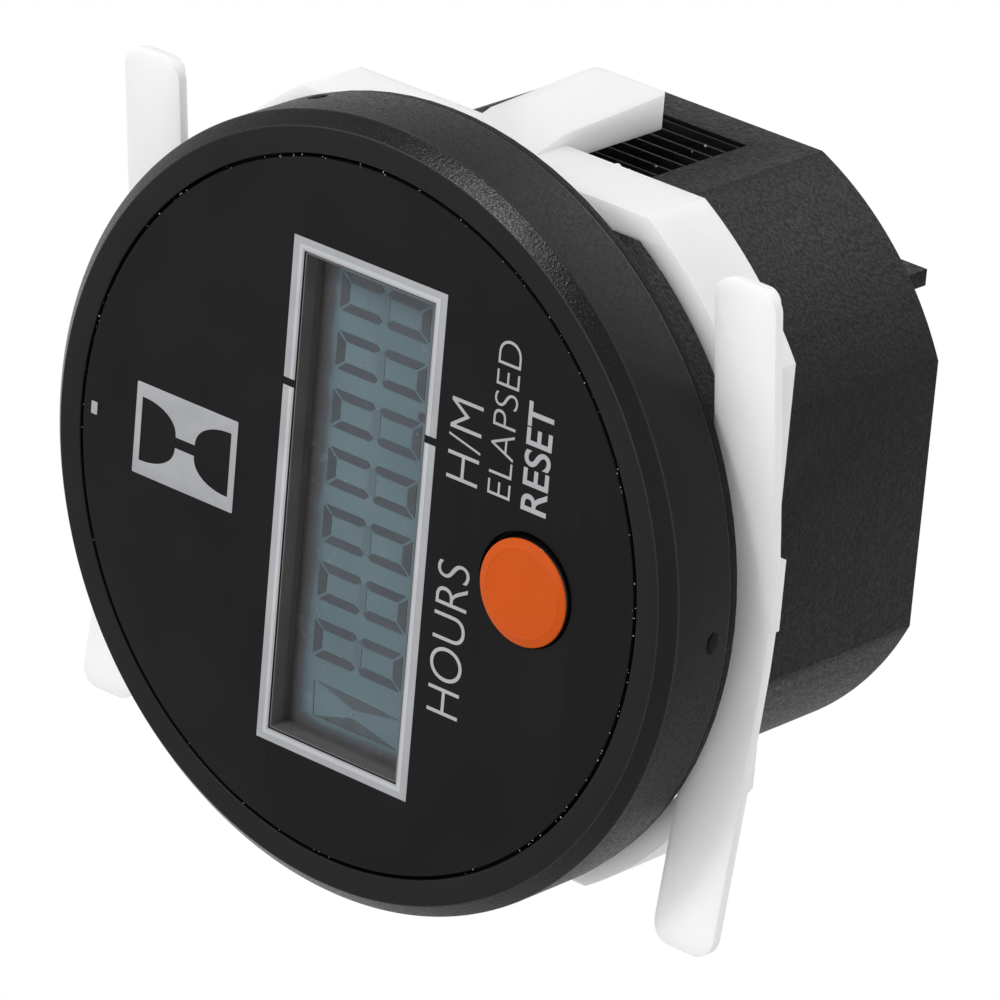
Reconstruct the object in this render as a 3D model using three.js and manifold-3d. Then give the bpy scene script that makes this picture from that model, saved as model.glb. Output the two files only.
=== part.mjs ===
// Round panel-mount digital hour meter with a reset button and a push-on ratchet clip.
// Millimetres, +Z up. The face looks towards -Y and the body runs back along +Y.
// The origin is the centre of the panel hole, on the plane where the bezel meets the panel.

import * as THREE from 'three';
import { mergeVertices } from 'three/addons/utils/BufferGeometryUtils.js';
import Module from 'manifold-3d';

const wasm = await Module();
wasm.setup();

// ---------------------------------------------------------------- driving dimensions

const BODY_R = 25.4;            // round part of the body, for a 52 mm panel hole
const BODY_FLAT = 23.1;         // distance from the axis to each of its four flats
const BODY_LENGTH = 29.8;       // from the panel face to the rear wall
const WALL = 2.0;
const BEZEL_R = 30;
const BEZEL_DEPTH = 7.5;
const BEZEL_CHAMFER = 1.05;
const FACE_Y = -BEZEL_DEPTH;    // plane of the front face
const DIAL_R = 26.67;
const DIAL_THICK = 1.0;
const WINDOW_W = 37.36;
const WINDOW_H = 12.48;
const LCD_Y = FACE_Y + 2.0;     // front of the display glass
const BUTTON_X = 0.25;
const BUTTON_Z = -16.7;
const BUTTON_R = 4.05;
const BUTTON_HOLE_R = 4.3;
const BUTTON_PROUD = 0.45;
const RACK_HALF_WIDTH = 6.45;
const RACK_START_Y = 4.35;
const RACK_PITCH = 1.55;
const RACK_TEETH = 14;
const RACK_DEPTH = 0.8;
const RACK_TOOTH = 0.6;
const CLIP_FRONT_Y = 2.6;
const CLIP_REAR_Y = 8.9;
const CLIP_FLAT = 26.1;         // outside of the collar's flats
const CLIP_R = 30.9;            // outside of the collar's round corners
const CLIP_WALL = 1.9;
const BAR_INNER_Z = 25.7;
const BAR_WIDTH = 5.5;
const BAR_HALF_LENGTH = 26.2;
const BAR_CENTRE_Y = 2.3;       // front of the bar at its middle
const BAR_SLOPE = 0.135;        // how far it comes forward per millimetre towards a tip
const TONGUE_HALF_WIDTH = 3.5;
const TONGUE_END_Y = 20.2;
const PCB_THICK = 1.6;
const DISPLAY_PCB_Y = -1.9;
const POWER_PCB_Y = 15.0;
const SCREW_SPOTS = { left: [-14, 14], right: [14, -14] };
const TERMINAL_X = 7;
const GAP = 0.2;

// ---------------------------------------------------------------- materials

const paint = (color, roughness, metalness = 0) =>
  new THREE.MeshStandardMaterial({ color, roughness, metalness });

const BLACK_PLASTIC = paint(0x2b2b2c, 0.6);
const DIAL_BLACK = paint(0x232324, 0.55);
const CLEAR_PLASTIC = paint(0xdde6e8, 0.1);
const LCD_GLASS = paint(0x68808a, 0.2);
const REFLECTOR_FILM = paint(0xb9bfc2, 0.4, 0.3);
const GREY_PLASTIC = paint(0x4a4c4e, 0.6);
const ZEBRA_RUBBER = paint(0x5a5a5c, 0.8);
const BOARD_GREEN = paint(0x1f5a34, 0.5);
const CHIP_BLACK = paint(0x18181a, 0.5);
const STEEL = paint(0xb8babc, 0.35, 1);
const ORANGE_PLASTIC = paint(0xd9692a, 0.35);
const FILM_BOX_YELLOW = paint(0xd8b23a, 0.5);
const CAN_BLUE = paint(0x20365e, 0.4);
const DISC_BLUE = paint(0x2a5da8, 0.5);
const RESISTOR_GREY = paint(0x8d9396, 0.6);
const TINNED_BRASS = paint(0xc9c4b0, 0.3, 1);
const WHITE_NYLON = paint(0xeeeeea, 0.45);

// ---------------------------------------------------------------- geometry helpers

// A closed solid from any closed three.js geometry, turned right side out.
function solid(geometry) {
  const bare = geometry.clone();
  bare.deleteAttribute('normal');
  bare.deleteAttribute('uv');
  const merged = mergeVertices(bare, 1e-4);
  const p = merged.getAttribute('position').array;
  const kept = [];
  let volume = 0;
  for (let i = 0; i < merged.index.count; i += 3) {
    const [a, b, c] = [0, 1, 2].map((k) => merged.index.getX(i + k));
    if (a === b || b === c || c === a) continue;
    kept.push(a, b, c);
    const [va, vb, vc] = [a, b, c].map((k) => new THREE.Vector3().fromArray(p, 3 * k));
    volume += va.dot(vb.cross(vc));
  }
  if (volume < 0) kept.reverse();
  return new wasm.Manifold(new wasm.Mesh({
    numProp: 3, vertProperties: new Float32Array(p), triVerts: new Uint32Array(kept),
  }));
}

function geometryOf(manifold) {
  const { vertProperties, triVerts, numProp } = manifold.getMesh();
  const points = new Float32Array((vertProperties.length / numProp) * 3);
  for (let i = 0; i < points.length / 3; i++) {
    for (let k = 0; k < 3; k++) points[3 * i + k] = vertProperties[i * numProp + k];
  }
  const geometry = new THREE.BufferGeometry();
  geometry.setAttribute('position', new THREE.BufferAttribute(points, 3));
  geometry.setIndex(Array.from(triVerts));
  return geometry;
}

const join = (...pieces) => pieces.reduce((sum, piece) => sum.add(piece));

// A shape drawn in X and Z, filled from y0 to y1.
function slab(shape, y0, y1, curveSegments = 10) {
  const geometry = new THREE.ExtrudeGeometry(shape, { depth: y1 - y0, bevelEnabled: false, curveSegments });
  geometry.rotateX(Math.PI / 2);
  geometry.translate(0, y1, 0);
  return solid(geometry);
}

// A profile of [radius, y] points turned about the Y axis, then moved to x, z.
function turned(profile, segments = 32, x = 0, z = 0) {
  const points = profile.map(([r, y]) => new THREE.Vector2(r, y));
  points.push(points[0].clone());
  const geometry = new THREE.LatheGeometry(points, segments);
  geometry.translate(x, 0, z);
  return solid(geometry);
}

const rod = (radius, y0, y1, x = 0, z = 0, segments = 32) =>
  turned([[0, y0], [radius, y0], [radius, y1], [0, y1]], segments, x, z);

function box(x0, x1, y0, y1, z0, z1) {
  const geometry = new THREE.BoxGeometry(x1 - x0, y1 - y0, z1 - z0);
  geometry.translate((x0 + x1) / 2, (y0 + y1) / 2, (z0 + z1) / 2);
  return solid(geometry);
}

// The body's outline: a circle with four flats, at the sides, top and bottom.
function flattedCircle(radius, flat) {
  const half = Math.acos(flat / radius);
  const shape = new THREE.Shape();
  for (let k = 0; k < 4; k++) {
    const start = k * Math.PI / 2 + half;
    const end = (k + 1) * Math.PI / 2 - half;
    if (k === 0) shape.moveTo(radius * Math.cos(start), radius * Math.sin(start));
    else shape.lineTo(radius * Math.cos(start), radius * Math.sin(start));
    shape.absarc(0, 0, radius, start, end, false);
  }
  shape.closePath();
  return shape;
}

function roundedRect(halfW, halfH, radius, cx = 0, cz = 0) {
  const shape = new THREE.Shape();
  shape.moveTo(cx - halfW + radius, cz - halfH);
  shape.absarc(cx + halfW - radius, cz - halfH + radius, radius, -Math.PI / 2, 0, false);
  shape.absarc(cx + halfW - radius, cz + halfH - radius, radius, 0, Math.PI / 2, false);
  shape.absarc(cx - halfW + radius, cz + halfH - radius, radius, Math.PI / 2, Math.PI, false);
  shape.absarc(cx - halfW + radius, cz - halfH + radius, radius, Math.PI, 1.5 * Math.PI, false);
  return shape;
}

const turnY = (piece, degrees) => piece.rotate([0, degrees, 0]);

// ---------------------------------------------------------------- housing

// One ratchet rack: a pocket in a side flat with saw teeth across it. Each tooth is steep
// towards the panel and slopes away behind, so the clip slides forward and can't slip back.
function rackPocket() {
  const end = RACK_START_Y + RACK_TEETH * RACK_PITCH;
  return box(BODY_FLAT - RACK_DEPTH, BODY_FLAT + 1, RACK_START_Y, end, -RACK_HALF_WIDTH, RACK_HALF_WIDTH);
}

function rackTeeth() {
  const floor = BODY_FLAT - RACK_DEPTH;
  const tooth = new THREE.Shape();
  tooth.moveTo(floor - 0.3, 0);
  tooth.lineTo(floor, 0);
  tooth.lineTo(floor + RACK_TOOTH, RACK_PITCH * 0.07);
  tooth.lineTo(floor + RACK_TOOTH, RACK_PITCH * 0.22);
  tooth.lineTo(floor, RACK_PITCH * 0.72);
  tooth.lineTo(floor - 0.3, RACK_PITCH * 0.72);
  const width = 2 * RACK_HALF_WIDTH + 0.4;
  const firstTooth = RACK_START_Y + 0.57 * RACK_PITCH;
  const teeth = [];
  for (let k = 0; k < RACK_TEETH; k++) {
    const geometry = new THREE.ExtrudeGeometry(tooth, { depth: width, bevelEnabled: false });
    geometry.translate(0, firstTooth + k * RACK_PITCH, -width / 2);
    teeth.push(solid(geometry));
  }
  return join(...teeth);
}

function housing() {
  const boardLedgeY = 0;
  const flange = turned([
    [20, boardLedgeY], [20, -2.2], [25.3, -2.2], [25.3, -4.9], [27.4, -4.9],
    [27.4, -0.75], [29.9, -0.75], [29.9, 0],
  ], 96);
  const shell = slab(flattedCircle(BODY_R, BODY_FLAT), -2.2, BODY_LENGTH, 14);
  const cavity = slab(flattedCircle(BODY_R - WALL, BODY_FLAT - WALL - 0.1), -3, BODY_LENGTH - WALL, 14);
  const boardBore = rod(BODY_R - WALL, -3, boardLedgeY, 0, 0, 64);
  let body = join(shell, flange).subtract(cavity).subtract(boardBore);

  for (const side of [0, 180]) {
    body = body.subtract(turnY(rackPocket(), side)).add(turnY(rackTeeth(), side));
  }

  const rearWallInner = BODY_LENGTH - WALL;
  for (const sign of [-1, 1]) {
    const barrier = box(sign * 15.05 - 0.65, sign * 15.05 + 0.65, rearWallInner + 0.5, 32.9, -18.9, 18.9);
    const slot = box(sign * TERMINAL_X - 0.7, sign * TERMINAL_X + 0.7, 26, 31, -3.5, 3.5);
    body = body.add(barrier).subtract(slot);
  }
  body = body.add(box(-0.7, 0.7, rearWallInner + 0.5, 33.6, -6, 6));

  for (const [x, z] of Object.values(SCREW_SPOTS)) {
    const boss = rod(2.6, POWER_PCB_Y + PCB_THICK + 0.3, rearWallInner + 0.5, x, z, 24);
    const pilot = rod(1.25, POWER_PCB_Y, 25.5, x, z, 20);
    body = body.add(boss).subtract(pilot);
  }
  return body;
}

// ---------------------------------------------------------------- front

function bezelRing() {
  const rimRear = -1.0;
  const lipRear = FACE_Y + 1.25;
  return turned([
    [DIAL_R + 0.25, FACE_Y], [BEZEL_R - BEZEL_CHAMFER, FACE_Y], [BEZEL_R, FACE_Y + 1.0],
    [BEZEL_R, rimRear], [27.75, rimRear], [27.75, lipRear], [DIAL_R + 0.25, lipRear],
  ], 96);
}

function dialPlate() {
  const back = FACE_Y + DIAL_THICK;
  const disc = turned([
    [0, FACE_Y], [DIAL_R, FACE_Y], [DIAL_R, -6.0], [27.45, -6.0], [27.45, -5.2],
    [25.5, -5.2], [25.5, back], [0, back],
  ], 96);
  const window = box(-WINDOW_W / 2, WINDOW_W / 2, FACE_Y - 1, back + 1, -WINDOW_H / 2, WINDOW_H / 2);
  const hole = rod(BUTTON_HOLE_R, FACE_Y - 1, back + 1, BUTTON_X, BUTTON_Z, 48);
  return disc.subtract(window).subtract(hole);
}

const windowLens = () => slab(roundedRect(19.6, 7.2, 0.6), FACE_Y + DIAL_THICK + GAP, LCD_Y - GAP, 4);

// Cap with a soft edge, a collar that holds it behind the dial, and a stem over the switch.
function resetButton() {
  const top = FACE_Y - BUTTON_PROUD;
  return turned([
    [0, top], [BUTTON_R - 0.7, top], [BUTTON_R - 0.3, top + 0.13], [BUTTON_R - 0.07, top + 0.4],
    [BUTTON_R, top + 0.75], [BUTTON_R, -6.2], [5.2, -6.2], [5.2, -5.6],
    [1.6, -5.6], [1.6, -5.05], [0, -5.05],
  ], 48, BUTTON_X, BUTTON_Z);
}

// ---------------------------------------------------------------- display stack

const LCD_HALF_W = 20.2;
const LCD_HALF_H = 8.0;
const LCD_BACK_Y = LCD_Y + 1.1;

const lcdGlass = () => box(-LCD_HALF_W, LCD_HALF_W, LCD_Y, LCD_BACK_Y, -LCD_HALF_H, LCD_HALF_H);

const lcdReflector = () =>
  box(-18.9, 18.9, LCD_BACK_Y + GAP, LCD_BACK_Y + 2 * GAP, -5.6, 5.6);

function lcdHolder() {
  const front = FACE_Y + DIAL_THICK + GAP;
  const back = DISPLAY_PCB_Y - GAP;
  const frame = slab(roundedRect(21.4, 9.4, 2), front, back, 6);
  const glassPocket = box(-LCD_HALF_W - GAP, LCD_HALF_W + GAP, LCD_Y - GAP / 2, LCD_BACK_Y + GAP,
    -LCD_HALF_H - GAP, LCD_HALF_H + GAP);
  const lensPocket = slab(roundedRect(19.6 + GAP, 7.2 + GAP, 0.6), front - 1, LCD_Y, 4);
  const rearWell = box(-19.4, 19.4, LCD_BACK_Y, back + 1, -LCD_HALF_H - GAP, LCD_HALF_H + GAP);
  return frame.subtract(glassPocket).subtract(lensPocket).subtract(rearWell);
}

const zebraStrip = (sign) => {
  const lower = Math.min(sign * 6.1, sign * 7.8);
  const upper = Math.max(sign * 6.1, sign * 7.8);
  return box(-18, 18, LCD_BACK_Y + GAP, DISPLAY_PCB_Y - GAP, lower, upper);
};

function drilled(board, y) {
  let piece = board;
  for (const [x, z] of Object.values(SCREW_SPOTS)) {
    piece = piece.subtract(rod(1.25, y - 1, y + PCB_THICK + 1, x, z, 20));
  }
  return piece;
}

const displayPcb = () =>
  drilled(rod(BODY_R - WALL - 0.5, DISPLAY_PCB_Y, DISPLAY_PCB_Y + PCB_THICK, 0, 0, 64), DISPLAY_PCB_Y);

function tactSwitch() {
  const back = DISPLAY_PCB_Y - GAP;
  const body = box(BUTTON_X - 3, BUTTON_X + 3, -4.6, back, BUTTON_Z - 3, BUTTON_Z + 3);
  return body.subtract(rod(1.95, -5, -3.4, BUTTON_X, BUTTON_Z, 24));
}

const tactPlunger = () => rod(1.7, -5.0, -4.0, BUTTON_X, BUTTON_Z, 24);

// A flat chip with a row of bent legs down two sides.
function chip(cx, cz, halfW, halfH, height, legs) {
  const y0 = DISPLAY_PCB_Y + PCB_THICK + GAP;
  let body = box(cx - halfW, cx + halfW, y0 + 0.1, y0 + height, cz - halfH, cz + halfH);
  for (let k = 0; k < legs; k++) {
    const x = cx + (k - (legs - 1) / 2) * (2 * halfW / legs);
    for (const sign of [-1, 1]) {
      const reach = cz + sign * (halfH + 0.9);
      const root = cz + sign * (halfH - 0.2);
      body = body.add(box(x - 0.2, x + 0.2, y0, y0 + 0.45, Math.min(reach, root), Math.max(reach, root)));
    }
  }
  return body;
}

const mcuChip = () => chip(-1, 2, 5, 3.8, 1.7, 10);
const eepromChip = () => chip(10, 3, 2.5, 2, 1.5, 4);

function lyingCylinder(radius, halfLength, leadRadius, leadHalf, segments = 24) {
  const profile = [
    [0, -leadHalf], [leadRadius, -leadHalf], [leadRadius, -halfLength], [radius, -halfLength + 0.2],
    [radius, halfLength - 0.2], [leadRadius, halfLength], [leadRadius, leadHalf], [0, leadHalf],
  ];
  return turned(profile, segments).rotate([0, 0, 90]);
}

const crystalCan = () => lyingCylinder(1.5, 3.1, 0.5, 3.6).translate([-12, 1.6, 4]);

// ---------------------------------------------------------------- power board

function powerPcb() {
  const outline = flattedCircle(BODY_R - WALL - 0.5, BODY_FLAT - WALL - 0.6);
  return drilled(slab(outline, POWER_PCB_Y, POWER_PCB_Y + PCB_THICK, 10), POWER_PCB_Y);
}

const POWER_TOP = POWER_PCB_Y - GAP;

const filmCapacitor = () => slab(roundedRect(6.5, 3, 0.6, -5, -8), POWER_TOP - 10.5, POWER_TOP, 4);

function electrolyticCapacitor() {
  return turned([
    [0, POWER_TOP - 11], [3.4, POWER_TOP - 11], [4, POWER_TOP - 10.4], [4, POWER_TOP - 1.6],
    [3.7, POWER_TOP - 1.3], [4, POWER_TOP - 1], [4, POWER_TOP], [0, POWER_TOP],
  ], 32, 9, -8);
}

function bridgeRectifier() {
  let body = box(-1, 7.5, POWER_TOP - 3.2, POWER_TOP - 0.3, 3, 9.4);
  for (const x of [0.7, 5.8]) {
    for (const z of [3, 9.4]) {
      const leg = box(x - 0.25, x + 0.25, POWER_TOP - 1.8, POWER_TOP, z - 0.3, z + 0.3);
      body = body.add(leg);
    }
  }
  return body;
}

function varistor() {
  const disc = turned([
    [0, -1.6], [3.0, -1.6], [3.6, -1.0], [3.6, 1.0], [3.0, 1.6], [0, 1.6],
  ], 28).rotate([90, 0, 0]).translate([-12, POWER_TOP - 6, 4]);
  const leads = [-13.8, -10.2].map((x) => box(x - 0.3, x + 0.3, POWER_TOP - 5, POWER_TOP, 3.7, 4.3));
  return join(disc, ...leads);
}

function fuseResistor() {
  const rodBody = lyingCylinder(1.7, 4.6, 0.35, 6.2).translate([0, POWER_TOP - 2.4, 14]);
  const legs = [-6, 6].map((x) => box(x - 0.3, x + 0.3, POWER_TOP - 2.6, POWER_TOP, 13.7, 14.3));
  return join(rodBody, ...legs);
}

// Board-to-board pin row: a plastic carrier with square pins through it.
function pinHeader() {
  const y0 = DISPLAY_PCB_Y + PCB_THICK + GAP;
  let body = box(-6.4, 6.4, 6.0, 8.6, -18.7, -16.3);
  for (let k = 0; k < 5; k++) {
    const x = (k - 2) * 2.54;
    body = body.add(box(x - 0.32, x + 0.32, y0, POWER_TOP, -17.82, -17.18));
  }
  return body;
}

const pcbSpacer = ([x, z]) => turned([
  [1.25, DISPLAY_PCB_Y + PCB_THICK + GAP], [2.4, DISPLAY_PCB_Y + PCB_THICK + GAP],
  [2.4, POWER_TOP], [1.25, POWER_TOP],
], 24, x, z);

function stackScrew([x, z]) {
  const head = DISPLAY_PCB_Y - GAP;
  const screw = turned([
    [0, head - 1.2], [1.5, head - 1.2], [1.9, head - 0.8], [1.9, head],
    [0.95, head], [0.95, 23.4], [0.5, 24], [0, 24],
  ], 20, x, z);
  const crossA = box(x - 1.0, x + 1.0, head - 2, head - 0.65, z - 0.2, z + 0.2);
  const crossB = box(x - 0.2, x + 0.2, head - 2, head - 0.65, z - 1.0, z + 1.0);
  return screw.subtract(join(crossA, crossB));
}

// A 6.3 mm push-on tab with a shoulder inside the rear wall and a foot on the power board.
function terminal(sign) {
  const blade = new THREE.Shape();
  const half = 3.175;
  blade.moveTo(16.8, -1.2);
  blade.lineTo(24.5, -1.2);
  blade.lineTo(25.5, -half);
  blade.lineTo(36.8, -half);
  blade.lineTo(38, -half + 1.2);
  blade.lineTo(38, half - 1.2);
  blade.lineTo(36.8, half);
  blade.lineTo(25.5, half);
  blade.lineTo(24.5, 1.2);
  blade.lineTo(16.8, 1.2);
  blade.closePath();
  const eye = new THREE.Path();
  eye.absarc(34.2, 0, 0.85, 0, 2 * Math.PI, true);
  blade.holes.push(eye);
  const geometry = new THREE.ExtrudeGeometry(blade, { depth: 0.8, bevelEnabled: false, curveSegments: 10 });
  // the outline's first axis is Y and its second is Z; the thickness lies along X
  geometry.applyMatrix4(new THREE.Matrix4().set(
    0, 0, 1, sign * TERMINAL_X - 0.4,
    1, 0, 0, 0,
    0, 1, 0, 0,
    0, 0, 0, 1,
  ));
  const shoulder = box(sign * TERMINAL_X - 1.2, sign * TERMINAL_X + 1.2, 26.3, 27.5, -4.6, 4.6);
  return join(solid(geometry), shoulder);
}

// ---------------------------------------------------------------- mounting clip

const barFrontY = (x) => BAR_CENTRE_Y - BAR_SLOPE * (Math.hypot(x, 3) - 3);

// A layer of one spring bar: drawn from the side and filled across the bar's width.
function barLayer(halfLength, frontDepth, backMid, backTip, z0, z1) {
  const steps = 14;
  const side = new THREE.Shape();
  for (let k = 0; k <= steps; k++) {
    const x = halfLength * (2 * k / steps - 1);
    if (k === 0) side.moveTo(x, barFrontY(x) + frontDepth);
    else side.lineTo(x, barFrontY(x) + frontDepth);
  }
  for (let k = steps; k >= 0; k--) {
    const x = halfLength * (2 * k / steps - 1);
    const reach = Math.abs(x) / halfLength;
    side.lineTo(x, barFrontY(x) + backMid + (backTip - backMid) * reach);
  }
  side.closePath();
  const geometry = new THREE.ExtrudeGeometry(side, { depth: z1 - z0, bevelEnabled: false });
  geometry.translate(0, 0, z0);
  return solid(geometry);
}

function springBar() {
  const outerZ = BAR_INNER_Z + BAR_WIDTH;
  const midZ = BAR_INNER_Z + BAR_WIDTH / 2;
  const face = barLayer(BAR_HALF_LENGTH, 0, 0.85, 0.8, BAR_INNER_Z, outerZ)
    .intersect(slab(roundedRect(BAR_HALF_LENGTH - 0.5, BAR_WIDTH / 2, 1.6, 0, midZ), -6, 8, 10));
  const ribInset = 0.6;
  const rib = barLayer(BAR_HALF_LENGTH, 0.6, 1.55, 1.3, BAR_INNER_Z + ribInset, outerZ - ribInset)
    .intersect(slab(roundedRect(BAR_HALF_LENGTH - 0.6, BAR_WIDTH / 2 - ribInset, 1.0, 0, midZ), -6, 8, 8));
  return join(face, rib);
}

// The tongue that runs back along the rack; its tooth hangs just clear of the saw teeth.
function pawlTongue() {
  const side = new THREE.Shape();
  side.moveTo(CLIP_FLAT - 1.2, CLIP_REAR_Y - 3.5);
  side.lineTo(CLIP_FLAT, CLIP_REAR_Y - 3.5);
  side.lineTo(CLIP_FLAT + 0.9, CLIP_REAR_Y - 0.4);
  side.lineTo(CLIP_FLAT + 1.52, TONGUE_END_Y - 0.12);
  side.lineTo(CLIP_FLAT + 1.42, TONGUE_END_Y);
  side.lineTo(CLIP_FLAT - 1.2, TONGUE_END_Y);
  side.closePath();
  const plate = new THREE.ExtrudeGeometry(side, { depth: 2 * TONGUE_HALF_WIDTH, bevelEnabled: false });
  plate.translate(0, 0, -TONGUE_HALF_WIDTH);
  // seen from above, the free end has rounded corners
  const corner = 0.9;
  const plan = new THREE.Shape();
  plan.moveTo(0, -TONGUE_HALF_WIDTH);
  plan.lineTo(TONGUE_END_Y - corner, -TONGUE_HALF_WIDTH);
  plan.absarc(TONGUE_END_Y - corner, corner - TONGUE_HALF_WIDTH, corner, -Math.PI / 2, 0);
  plan.absarc(TONGUE_END_Y - corner, TONGUE_HALF_WIDTH - corner, corner, 0, Math.PI / 2);
  plan.lineTo(0, TONGUE_HALF_WIDTH);
  plan.closePath();
  const above = new THREE.ExtrudeGeometry(plan, { depth: 8, bevelEnabled: false, curveSegments: 6 });
  above.applyMatrix4(new THREE.Matrix4().set(
    0, 0, 1, CLIP_FLAT - 4,
    1, 0, 0, 0,
    0, 1, 0, 0,
    0, 0, 0, 1,
  ));
  const tooth = new THREE.Shape();
  const tipX = BODY_FLAT + 0.1;
  tooth.moveTo(CLIP_FLAT - 1, TONGUE_END_Y - 3.4);
  tooth.lineTo(tipX, TONGUE_END_Y - 2.2);
  tooth.lineTo(tipX, TONGUE_END_Y - 1.9);
  tooth.lineTo(CLIP_FLAT - 1, TONGUE_END_Y - 1.6);
  tooth.closePath();
  const hook = new THREE.ExtrudeGeometry(tooth, { depth: 2.0, bevelEnabled: false });
  hook.translate(0, 0, 1.4);
  return join(solid(plate).intersect(solid(above)), solid(hook));
}

function mountingClip() {
  const outer = slab(flattedCircle(CLIP_R, CLIP_FLAT), CLIP_FRONT_Y, CLIP_REAR_Y, 12);
  const hollow = flattedCircle(CLIP_R - CLIP_WALL, CLIP_FLAT - CLIP_WALL);
  const inner = slab(hollow, CLIP_FRONT_Y - 1, CLIP_REAR_Y + 1, 12);
  let clip = outer.subtract(inner);
  for (const side of [0, 90, 180, 270]) {
    for (const sign of [-1, 1]) {
      const z = sign * 8;
      const guide = box(BODY_FLAT + 0.3, CLIP_FLAT - 1, CLIP_FRONT_Y + 2, CLIP_REAR_Y, z - 0.6, z + 0.6);
      clip = clip.add(turnY(guide, side));
    }
  }
  for (const side of [0, 180]) {
    // the neck that joins a bar to the collar, and the thicker spot left where it was gated
    const neck = box(-4, 4, CLIP_FRONT_Y, 4.4, CLIP_FLAT - 1, 29);
    const gateSpot = box(-4.7, 0.8, CLIP_FRONT_Y - 0.2, 3.3, CLIP_FLAT - 1, BAR_INNER_Z + BAR_WIDTH + 0.1);
    clip = clip.add(turnY(pawlTongue(), side));
    clip = clip.add(turnY(join(springBar(), neck, gateSpot), side));
  }
  // a nub of flash on the collar's rear edge
  return clip.add(rod(0.4, CLIP_REAR_Y - 0.5, CLIP_REAR_Y + 0.4, CLIP_FLAT - 0.45, -8.1, 12));
}

// ---------------------------------------------------------------- assembly

const group = new THREE.Group();

function place(name, manifold, material) {
  const mesh = new THREE.Mesh(geometryOf(manifold), material);
  mesh.name = name;
  group.add(mesh);
}

place('housing', housing(), BLACK_PLASTIC);
place('bezel_ring', bezelRing(), BLACK_PLASTIC);
place('dial_plate', dialPlate(), DIAL_BLACK);
place('window_lens', windowLens(), CLEAR_PLASTIC);
place('reset_button', resetButton(), ORANGE_PLASTIC);
place('lcd_glass', lcdGlass(), LCD_GLASS);
place('lcd_reflector', lcdReflector(), REFLECTOR_FILM);
place('lcd_holder', lcdHolder(), GREY_PLASTIC);
place('zebra_strip_upper', zebraStrip(1), ZEBRA_RUBBER);
place('zebra_strip_lower', zebraStrip(-1), ZEBRA_RUBBER);
place('display_pcb', displayPcb(), BOARD_GREEN);
place('tact_switch_body', tactSwitch(), CHIP_BLACK);
place('tact_switch_plunger', tactPlunger(), GREY_PLASTIC);
place('mcu_chip', mcuChip(), CHIP_BLACK);
place('eeprom_chip', eepromChip(), CHIP_BLACK);
place('crystal_can', crystalCan(), STEEL);
place('pin_header', pinHeader(), CHIP_BLACK);
place('power_pcb', powerPcb(), BOARD_GREEN);
place('film_capacitor', filmCapacitor(), FILM_BOX_YELLOW);
place('electrolytic_capacitor', electrolyticCapacitor(), CAN_BLUE);
place('bridge_rectifier', bridgeRectifier(), CHIP_BLACK);
place('varistor_disc', varistor(), DISC_BLUE);
place('fuse_resistor', fuseResistor(), RESISTOR_GREY);
for (const [side, spot] of Object.entries(SCREW_SPOTS)) {
  place(`pcb_spacer_${side}`, pcbSpacer(spot), GREY_PLASTIC);
  place(`stack_screw_${side}`, stackScrew(spot), STEEL);
}
place('terminal_left', terminal(-1), TINNED_BRASS);
place('terminal_right', terminal(1), TINNED_BRASS);
place('mounting_clip', mountingClip(), WHITE_NYLON);

export default group;
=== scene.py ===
# Looks for a round panel-mount digital hour meter: visible pieces, materials, light and camera.
# Metres. The dial faces -Y, +Z is up when it is read, and the body runs back along +Y.

import math
import random

import bmesh
import bpy
from mathutils import Matrix, Vector


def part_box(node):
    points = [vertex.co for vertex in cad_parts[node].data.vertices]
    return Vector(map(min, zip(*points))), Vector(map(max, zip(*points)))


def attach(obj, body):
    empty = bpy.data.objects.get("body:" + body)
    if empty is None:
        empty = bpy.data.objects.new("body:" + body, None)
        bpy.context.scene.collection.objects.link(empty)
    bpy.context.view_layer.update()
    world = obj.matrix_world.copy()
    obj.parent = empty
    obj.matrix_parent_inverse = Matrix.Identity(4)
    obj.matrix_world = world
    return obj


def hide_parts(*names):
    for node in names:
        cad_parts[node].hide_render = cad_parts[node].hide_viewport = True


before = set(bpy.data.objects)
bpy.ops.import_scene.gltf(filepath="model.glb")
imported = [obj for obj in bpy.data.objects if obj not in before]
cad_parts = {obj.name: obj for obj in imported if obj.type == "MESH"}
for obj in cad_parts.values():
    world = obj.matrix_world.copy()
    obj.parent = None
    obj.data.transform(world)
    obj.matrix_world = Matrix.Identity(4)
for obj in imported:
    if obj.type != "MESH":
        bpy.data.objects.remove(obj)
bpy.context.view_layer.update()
MM = 0.001
rng = random.Random(7)

# ------------------------------------------------------------------ sizes, in millimetres

FACE_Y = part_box("dial_plate")[0].y / MM   # plane of the dial's face
BEZEL_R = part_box("bezel_ring")[1].x / MM
DIAL_R = 26.67                      # where the dial meets the bezel ring
DIAL_THICK = 1.0
WINDOW = (37.36, 12.48)             # opening in the dial over the display
BUTTON = (0.25, -16.7)
BUTTON_R = 4.05
BUTTON_HOLE_R = 4.3
LCD_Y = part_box("lcd_glass")[0].y / MM
PRINT_PROUD = 0.03                  # thickness of the silver print

# ------------------------------------------------------------------ material helpers


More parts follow.
